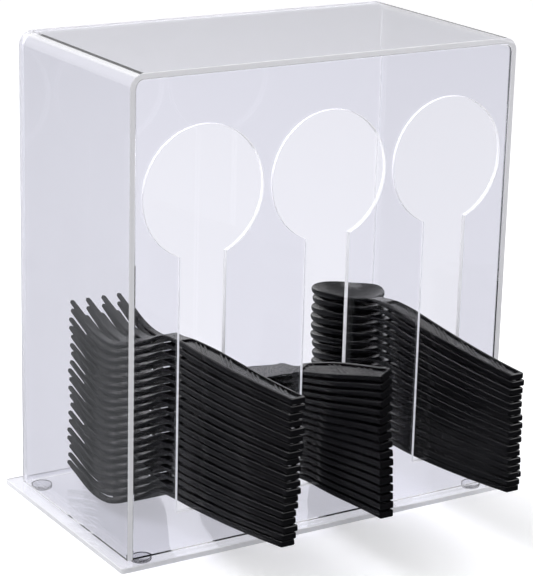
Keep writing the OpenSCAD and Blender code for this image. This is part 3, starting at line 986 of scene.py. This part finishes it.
@dataclass
class Knife(Utensil):
    """A table knife with a bevelled, finely toothed edge on its right side."""

    name: str = "knife"
    count: int = 17
    blade_l: float = 84.0
    grip: float = 70.0
    blade_bend_l: float = 14.0
    blade_angle: float = 2.0
    straight: float = 6.0
    grip_bend_l: float = 14.0
    grip_angle: float = 5.0
    bow_angle: float = 2.0
    blade_w: float = 14.0
    blade_t: float = 1.3
    bolster_t: float = 2.0
    bolster_l: float = 6.0
    end_t: float = 2.9
    bevel_w: float = 3.6
    bevel_from: float = 2.0
    bevel_to: float = 3.0
    edge_t: float = 0.45
    heel_at: float = 0.72
    belly_at: float = 0.3
    teeth_at: float = 0.68
    turn_at: float = 0.1
    tooth: float = 1.4
    tooth_depth: float = 0.35
    handle: Handle = field(default_factory=lambda: Handle(edge=0.35, rounds=2))

    @property
    def neck_y(self) -> float:
        """Place where the blade meets the handle."""
        return -self.blade_l

    @property
    def edge_x(self) -> float:
        """Reach of the cutting edge from the middle of the handle."""
        return self.blade_w - self.handle.width / 2

    def front_run(self) -> list[Stretch]:
        """Returns the stretches from the tip to the handle's end."""
        rest = self.grip - self.straight - self.grip_bend_l
        return [(self.blade_l - self.blade_bend_l, 0, 1), (self.blade_bend_l, -self.blade_angle, 2),
                (self.straight, 0, 1), (self.grip_bend_l, -self.grip_angle, 3), (rest, -self.bow_angle, 3)]

    def thickness(self, y: float) -> float:
        """Returns the thickness at y, which grows from the blade to the handle's end."""
        along = self.neck_y - y
        return (self.blade_t + (self.bolster_t - self.blade_t) * ease(0, self.bolster_l, along)
                + (self.end_t - self.bolster_t) * max(0.0, along) / (self.neck_y - self.end_y))

    def place(self, x: float, y: float, h: float) -> tuple[float, float, float]:
        """Bends a point of the flat blank, and thins the blade towards its edge."""
        start = self.edge_x - self.bevel_w
        heel = -self.heel_at * self.blade_l
        low, high = heel - self.bevel_from, heel + self.bevel_to
        if x > start and y > low:
            h *= 1 - (x - start) / self.bevel_w * (1 - self.edge_t / self.blade_t) * ease(low, high, y)
        return super().place(x, y, h)

    def plan(self) -> Loop:
        """Returns the outline of handle and blade, with teeth along the edge."""
        back, edge, blade = self.handle.width / 2, self.edge_x, self.blade_l
        right, left = self.handle.sides(self.end_y, self.neck_y, 0.0, [
            (-self.heel_at * blade, back, 0.8 * edge), (-self.belly_at * blade, back, edge),
            (-self.turn_at * blade, 0.9 * back, 0.7 * edge), (0, back / 2, 0.1 * edge)], n=12)
        first, last = -self.teeth_at * blade, -self.turn_at * blade
        ys = [y for _, y in right]
        xs = [x for x, _ in right]
        teeth: Loop = []
        for i in range(int((last - first) / self.tooth)):
            for share, cut in ((0.0, 0.0), (0.6, self.tooth_depth), (0.8, self.tooth_depth)):
                y = first + (i + share) * self.tooth
                teeth.append((float(np.interp(y, ys, xs)) - cut, y))
        return ([p for p in right if p[1] < first] + teeth
                + [p for p in right if p[1] > teeth[-1][1] + 0.4] + left)

    def bend(self, bm: bmesh.types.BMesh) -> None:
        """Cuts the blank where the bevel starts, and bends it."""
        split(bm, (self.edge_x - self.bevel_w, 0, 0), (1, 0, 0))
        super().bend(bm)


@dataclass
class Spoon(Utensil):
    """A spoon with an egg-shaped bowl."""

    name: str = "spoon"
    count: int = 17
    grip: float = 132.0
    reach: float = 24.0
    heel: float = 20.0
    overlap: float = 3.0
    lap_from: float = 3.0
    lap_to: float = 4.0
    knee_l: float = 9.2
    knee_angle: float = 8.0
    bow_l: float = 23.0
    bow_angle: float = 8.0
    sag_angle: float = 6.2
    bowl_w: float = 29.0
    bowl_r: float = 40.0
    cross_r: float = 18.5
    bowl_t: float = 1.5
    around: int = 56

    @property
    def neck_y(self) -> float:
        """Place of the neck."""
        return -self.heel - self.overlap

    def front_run(self) -> list[Stretch]:
        """Returns the stretches from the lowest point to the handle's end."""
        angle = math.degrees(math.asin((self.heel - self.overlap) / self.bowl_r))
        run = self.bowl_r * math.radians(angle)
        rest = self.grip - run - self.knee_l - self.bow_l
        return [(run, angle, 5), (self.knee_l, -angle - self.knee_angle, 4),
                (self.bow_l, -self.bow_angle, 3), (rest, self.sag_angle, 5)]

    def rear_run(self) -> list[Stretch]:
        """Returns the stretches from the lowest point to the bowl's tip."""
        angle = math.degrees(math.asin(self.reach / self.bowl_r))
        return [(self.bowl_r * math.radians(angle), angle, 6)]

    def thickness(self, y: float) -> float:
        """Returns the thickness at y, which falls along the neck."""
        h = self.handle
        return h.thick + (self.bowl_t - h.thick) * ease(self.neck_y - h.thinning, self.neck_y, y)

    def dish(self, x: float, y: float, wall: float) -> float:
        """Returns the height of the bowl's underside, or of its inside with a wall."""
        across = self.bowl_r - self.cross_r + math.sqrt((self.cross_r - wall) ** 2 - x * x)
        return self.bowl_r - math.sqrt(across * across - y * y)

    def place(self, x: float, y: float, h: float) -> tuple[float, float, float]:
        """Bends a point of the flat blank, and lays the neck against the bowl."""
        x, y, z = super().place(x, y, h)
        low, high = self.neck_y - self.lap_from, self.neck_y + self.lap_to
        if y > low:
            near = min(y, -1.0)
            z += (self.dish(x, near, 0) - self.dish(0, near, 0)) * ease(low, high, y)
        return x, y, z

    def plan(self) -> Loop:
        """Returns the outline of the handle and the flared neck."""
        neck = self.handle.neck_w / 2
        right, left = self.handle.sides(self.end_y, self.neck_y, 0.0, [
            (self.neck_y + 2, neck + 0.2, neck + 0.2), (self.overlap - self.heel, neck + 1.6, neck + 1.6)])
        return right + left

    def add_head(self, bm: bmesh.types.BMesh) -> None:
        """Adds the bowl, with a rounded rim."""
        shares = (0.14, 0.28, 0.42, 0.56, 0.7, 0.82, 0.91, 0.965)
        rim = [(0.99, 0.9), (1.0, 0.66), (1.0, 0.34), (0.992, 0.08)]
        rings = []
        for share, up in [(s, 1.0) for s in shares] + rim + [(s, 0.0) for s in reversed(shares)]:
            ring = []
            for i in range(self.around):
                a = 2 * math.pi * i / self.around
                x = share * self.bowl_w / 2 * math.cos(a)
                y = share * (self.reach if math.sin(a) > 0 else self.heel) * math.sin(a)
                low, high = self.dish(x, y, 0), self.dish(x, y, self.bowl_t)
                ring.append(bm.verts.new((x, y, low + up * (high - low))))
            rings.append(ring)
        for a, b in zip(rings, rings[1:]):
            for i in range(self.around):
                j = (i + 1) % self.around
                bm.faces.new((a[i], a[j], b[j], b[i]))
        for ring, z in ((rings[0], self.bowl_t), (rings[-1], 0.0)):
            middle = bm.verts.new((0, 0, z))
            for i in range(self.around):
                bm.faces.new((ring[i], ring[(i + 1) % self.around], middle))
        bmesh.ops.recalc_face_normals(bm, faces=bm.faces)


# ---------------------------------------------------------------- Stacks


@dataclass
class Stack:
    """How the pieces of one kind lie on each other, in millimetres and degrees.

    Args:
        side: place across the case.
        pivot: place of the lowest piece's pivot, from the front of the case.
        height: height of that pivot above the base plate.
        tilt: angle at which the lowest piece stands.
        fan: angle by which each piece lies flatter than the one below.
        pitch: height of one piece.
        scatter_x: how far the pieces scatter sideways.
        scatter_y: how far they scatter towards the front.
        seed_x: seed of the sideways scatter.
        seed_y: seed of the other scatter.
        step: how much farther back each piece lies than the one below.
        slide: how far the upper pieces are slid back.
        slide_from: piece at which the slide starts.
        slide_to: piece at which it ends.
        roll: angle by which the top piece is rolled to its side.
        roll_from: piece at which the roll starts.
        roll_to: piece at which it ends.
    """

    side: float
    pivot: float
    height: float
    tilt: float
    fan: float
    pitch: float
    scatter_x: float
    scatter_y: float = 0.0
    seed_x: int = 0
    seed_y: int = 0
    step: float = 0.0
    slide: float = 0.0
    slide_from: float = 1.0
    slide_to: float = 2.0
    roll: float = 0.0
    roll_from: float = 1.0
    roll_to: float = 2.0

    def tree(self) -> Tree:
        """Builds the node tree that piles up one kind of piece."""
        t = Tree("stack")
        count, piece = t.size("Count", "NodeSocketInt"), t.size("Piece", "NodeSocketObject")
        finish = t.size("Finish", "NodeSocketMaterial")
        first, side, pivot, height, tilt0, fan, pitch, step = t.sizes(
            "First", "Side", "Pivot", "Height", "Tilt", "Fan", "Pitch", "Step")
        spread_x, spread_y, seed_x, seed_y = t.sizes("Scatter X", "Scatter Y", "Seed X", "Seed Y")
        slide, slide_from, slide_to = t.sizes("Slide", "Slide From", "Slide To")
        roll, roll_from, roll_to = t.sizes("Roll", "Roll From", "Roll To")
        k = t.value("GeometryNodeInputIndex") + first
        above = k.math("GREATER_THAN", 1.5)

        def scatter(seed: Value) -> Value:
            """Returns a fixed scatter between -1 and 1."""
            one = (k * 97.0 + seed) * (math.pi / 180)
            two = (k * 41.0 + seed * 2.0) * (math.pi / 180)
            return one.math("SINE") * two.math("COSINE")

        tilt = tilt0 - (k - 1.0) * fan
        back = t.step(k, slide_from, slide_to) * slide
        x = side + spread_x * above * scatter(seed_x)
        drawn = spread_y * above * (scatter(seed_y) + 1.0) * 0.5
        y = pivot + (k - 1.0) * step - drawn + back * tilt.math("COSINE")
        z = height + (k - 1.0) * pitch - back * tilt.math("SINE")
        line = t.node("GeometryNodeMeshLine", {"Count": count, "Offset": (0, 0, 0)})
        points = t.node("GeometryNodeSetPosition", {"Geometry": line.outputs[0], "Position": t.vector(x, y, z)})
        shape = t.node("GeometryNodeObjectInfo", {"Object": piece})
        lean = t.value("FunctionNodeEulerToRotation", {0: t.vector(tilt * -1.0, 0.0, 0.0)})
        laid = t.pile(points, shape.outputs["Geometry"], Rotation=lean)
        rolled = t.step(k, roll_from, roll_to) * roll * -1.0
        turn = t.value("FunctionNodeEulerToRotation", {0: t.vector(0.0, rolled, 0.0)})
        t.finish(t.node("GeometryNodeRotateInstances", {"Instances": laid.outputs[0], "Rotation": turn,
                                                        "Local Space": True}), finish)
        return t

    def build(self, utensil: Utensil, case: Case, finish: bpy.types.Material) -> None:
        """Builds the lower pieces and the top piece.

        Args:
            utensil: the kind of piece.
            case: the case that the stack lies in.
            finish: the pieces' material.
        """
        tree, blank, n = self.tree(), utensil.blank(), utensil.count
        values = {"Piece": blank, "Finish": finish}
        for unit, names in ((MM, ("side", "pitch", "scatter_x", "scatter_y", "slide", "step")),
                            (math.radians(1), ("tilt", "fan", "roll")),
                            (1.0, ("seed_x", "seed_y", "slide_from", "slide_to", "roll_from", "roll_to"))):
            values.update({name.replace("_", " ").title(): getattr(self, name) * unit for name in names})
        values["Pivot"] = (self.pivot + case.front_y) * MM
        values["Height"] = (self.height + case.deck_z) * MM
        for name, body, first, count in ((f"{utensil.name}_stack", "dispenser", 1, n - 1),
                                         (f"{utensil.name}_on_top", f"top_{utensil.name}", n, 1)):
            obj = tree.bake(name, {**values, "First": float(first), "Count": count})
            weigh_normals(obj)
            dress(obj, body, Slot.PLASTIC, [f"{utensil.name}_{k:02d}" for k in range(first, first + count)])
        bpy.data.objects.remove(blank)


# ---------------------------------------------------------------- Studio


@dataclass
class Studio:
    """White room, lamps and camera.

    Args:
        camera_at: the camera's place in metres.
        yaw: its turn from +Y towards +X, in radians.
        pitch: its tilt down from level.
        roll: its turn about its own axis.
        lens: its focal length in millimetres.
        room: width of the floor in metres.
        paint: lightness of the floor's paint.
        glow: light that the floor gives off towards the camera and in reflections.
        behind: share of the floor's paint and light that shows through the clear sheets. This is painted shade:
            the
        floor shows darker there than straight on, so that the sheets look grey against the white.
        behind_glow: light that the floor gives off towards the sheets, before that share.
        mirror: share that shows in the sheets' reflections, which is painted shade: the floor shows darker
            there than straight on.
        rough_mirror: share that shows in the cutlery's reflections, likewise painted shade.
        sheen: how much brighter the ceiling is in reflections, a painted sheen that lights nothing.
    """

    camera_at: Point = (-0.5055, -0.77513, 0.3939)
    yaw: float = 0.5591
    pitch: float = 0.2996
    roll: float = 0.0252
    lens: float = 137.36
    room: float = 4.0
    paint: float = 0.78
    glow: float = 0.4
    behind: Colour = (0.32, 0.32, 0.334)
    behind_glow: float = 2.15
    mirror: Colour = (0.16, 0.165, 0.17)
    rough_mirror: Colour = (0.05, 0.05, 0.055)
    sheen: float = 3.2

    def camera(self) -> None:
        """Places the camera where the photo was taken from."""
        ahead, down = math.cos(self.pitch), math.sin(self.pitch)
        forward = Vector((math.sin(self.yaw) * ahead, math.cos(self.yaw) * ahead, -down))
        level = Vector((math.cos(self.yaw), -math.sin(self.yaw), 0))
        upward = level.cross(forward)
        right = math.cos(self.roll) * level + math.sin(self.roll) * upward
        up = math.cos(self.roll) * upward - math.sin(self.roll) * level
        turn = Matrix((right, up, -forward)).transposed()
        data = bpy.data.cameras.new("camera")
        data.lens, data.sensor_width = self.lens, 36.0
        data.clip_start, data.clip_end = 0.05, 20
        camera = bpy.data.objects.new("camera", data)
        camera.matrix_world = Matrix.Translation(self.camera_at) @ turn.to_4x4()
        bpy.context.scene.collection.objects.link(camera)
        bpy.context.scene.camera = camera

    def lamp(self, name: str, at: Point, size: tuple[float, float], watts: float) -> None:
        """Adds a soft area lamp that looks at the case.

        Args:
            name: the lamp's name.
            at: its place.
            size: its width and height.
            watts: its power.
        """
        data = bpy.data.lights.new(name, "AREA")
        data.shape, data.size, data.size_y, data.energy = "RECTANGLE", *size, watts
        lamp = bpy.data.objects.new(name, data)
        lamp.location = at
        lamp.rotation_euler = (Vector((0, 0.03, 0.1)) - Vector(at)).to_track_quat("-Z", "Y").to_euler()
        bpy.context.scene.collection.objects.link(lamp)

    def world(self) -> None:
        """Builds a white background and a soft light that is brighter from above and behind."""
        world = bpy.data.worlds.new("white room")
        bpy.context.scene.world = world
        nodes = Shader(world, "ShaderNodeOutputWorld")
        place = nodes.node("ShaderNodeTexCoord").outputs["Generated"]
        axes = nodes.node("ShaderNodeSeparateXYZ", {0: place})
        y, z = (Value(nodes, axes.outputs[axis]) for axis in "YZ")
        # Painted sheen: the ceiling is brighter in reflections only, and lights nothing.
        ceiling = nodes.step(z, 0.42, 0.75) * nodes.ray("Is Glossy Ray") * self.sheen
        level = nodes.step(z, -0.05, 0.45, 0.12) * nodes.step(y, -0.7, 0.5, 0.3) + ceiling
        soft = nodes.node("ShaderNodeBackground", {"Color": (0.97, 0.97, 1.0, 1), "Strength": level})
        white = nodes.node("ShaderNodeBackground", {"Color": (1, 1, 1, 1)})
        seen = nodes.ray("Is Camera Ray").math("MAXIMUM", nodes.ray("Is Transmission Ray"))
        nodes.finish(nodes.mix(seen, soft, white))

    def floor(self) -> None:
        """Builds a floor that is white to the camera and still takes the object's shadow."""
        mesh = bpy.data.meshes.new("floor")
        corners = ((-1, -1), (1, -1), (1, 1), (-1, 1))
        mesh.from_pydata([(self.room / 2 * x, self.room / 2 * y, 0) for x, y in corners], [], [(0, 1, 2, 3)])
        nodes = Shader(bpy.data.materials.new("white floor"))
        through = (nodes.ray("Is Transmission Ray") - nodes.ray("Glossy Depth")).math("MAXIMUM", 0.0)
        # Painted shade in reflections: the floor shows darker in reflections than straight on.
        mirror = nodes.blend(nodes.ray("Is Singular Ray"), self.rough_mirror, self.mirror)
        share = nodes.blend(nodes.ray("Is Glossy Ray"), (1, 1, 1), mirror)
        # Painted shade: through the clear sheets the floor shows darker than straight on, so that the sheets
        # look grey against the white.
        share = nodes.blend(through, share, self.behind)
        paint = nodes.node("ShaderNodeBsdfDiffuse", {"Color": nodes.blend(self.paint, (0, 0, 0), share)})
        strength = (through * (self.behind_glow - self.glow) + self.glow) * (
            nodes.ray("Is Diffuse Ray") * -1.0 + 1.0)
        glow = nodes.node("ShaderNodeEmission", {"Color": share, "Strength": strength})
        both = nodes.node("ShaderNodeAddShader", {0: paint.outputs[0], 1: glow.outputs[0]})
        mesh.materials.append(nodes.finish(both))
        add_object("floor", mesh)

    def build(self) -> None:
        """Builds the whole studio."""
        bpy.context.scene.view_settings.view_transform = "Standard"
        self.floor()
        self.world()
        self.lamp("key", (-0.5, 0.5, 1.1), (0.9, 0.6), 9)
        self.lamp("fill", (0.9, -0.6, 0.9), (0.8, 0.8), 4)
        self.camera()


# ---------------------------------------------------------------- The whole


def main() -> None:
    """Builds the dispenser and its cutlery in order, then the studio."""
    logging.basicConfig(level=logging.INFO, format="%(message)s")
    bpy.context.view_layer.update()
    plastic = PLASTIC.material()
    case = Case((ACRYLIC.material(), EDGE.material()))
    case.wrap()
    case.front()
    case.back()
    case.base()
    case.feet(BUMPER.material())
    Stack(side=-62.0, pivot=55.3, height=1.96405, tilt=15.0088, fan=0.29, pitch=3.95397, step=-0.13,
          scatter_x=0.7, scatter_y=1.2, seed_x=0, seed_y=20).build(Fork(), case, plastic)
    Stack(side=-2.0, pivot=96.8, height=0.2, tilt=11.2234, fan=-0.59, pitch=2.2, scatter_x=0.175,
          seed_x=70, slide=3.0, slide_from=6.8, slide_to=11.05,
          roll=26, roll_from=5.1, roll_to=16.0).build(Knife(), case, plastic)
    Stack(side=59.5, pivot=65.5, height=2.12752, tilt=17.7711, fan=0.51, pitch=4.34462, step=0.25,
          scatter_x=0.7, scatter_y=1.2, seed_x=130, seed_y=50).build(Spoon(), case, plastic)
    Studio().build()


if __name__ == "__main__":
    main()
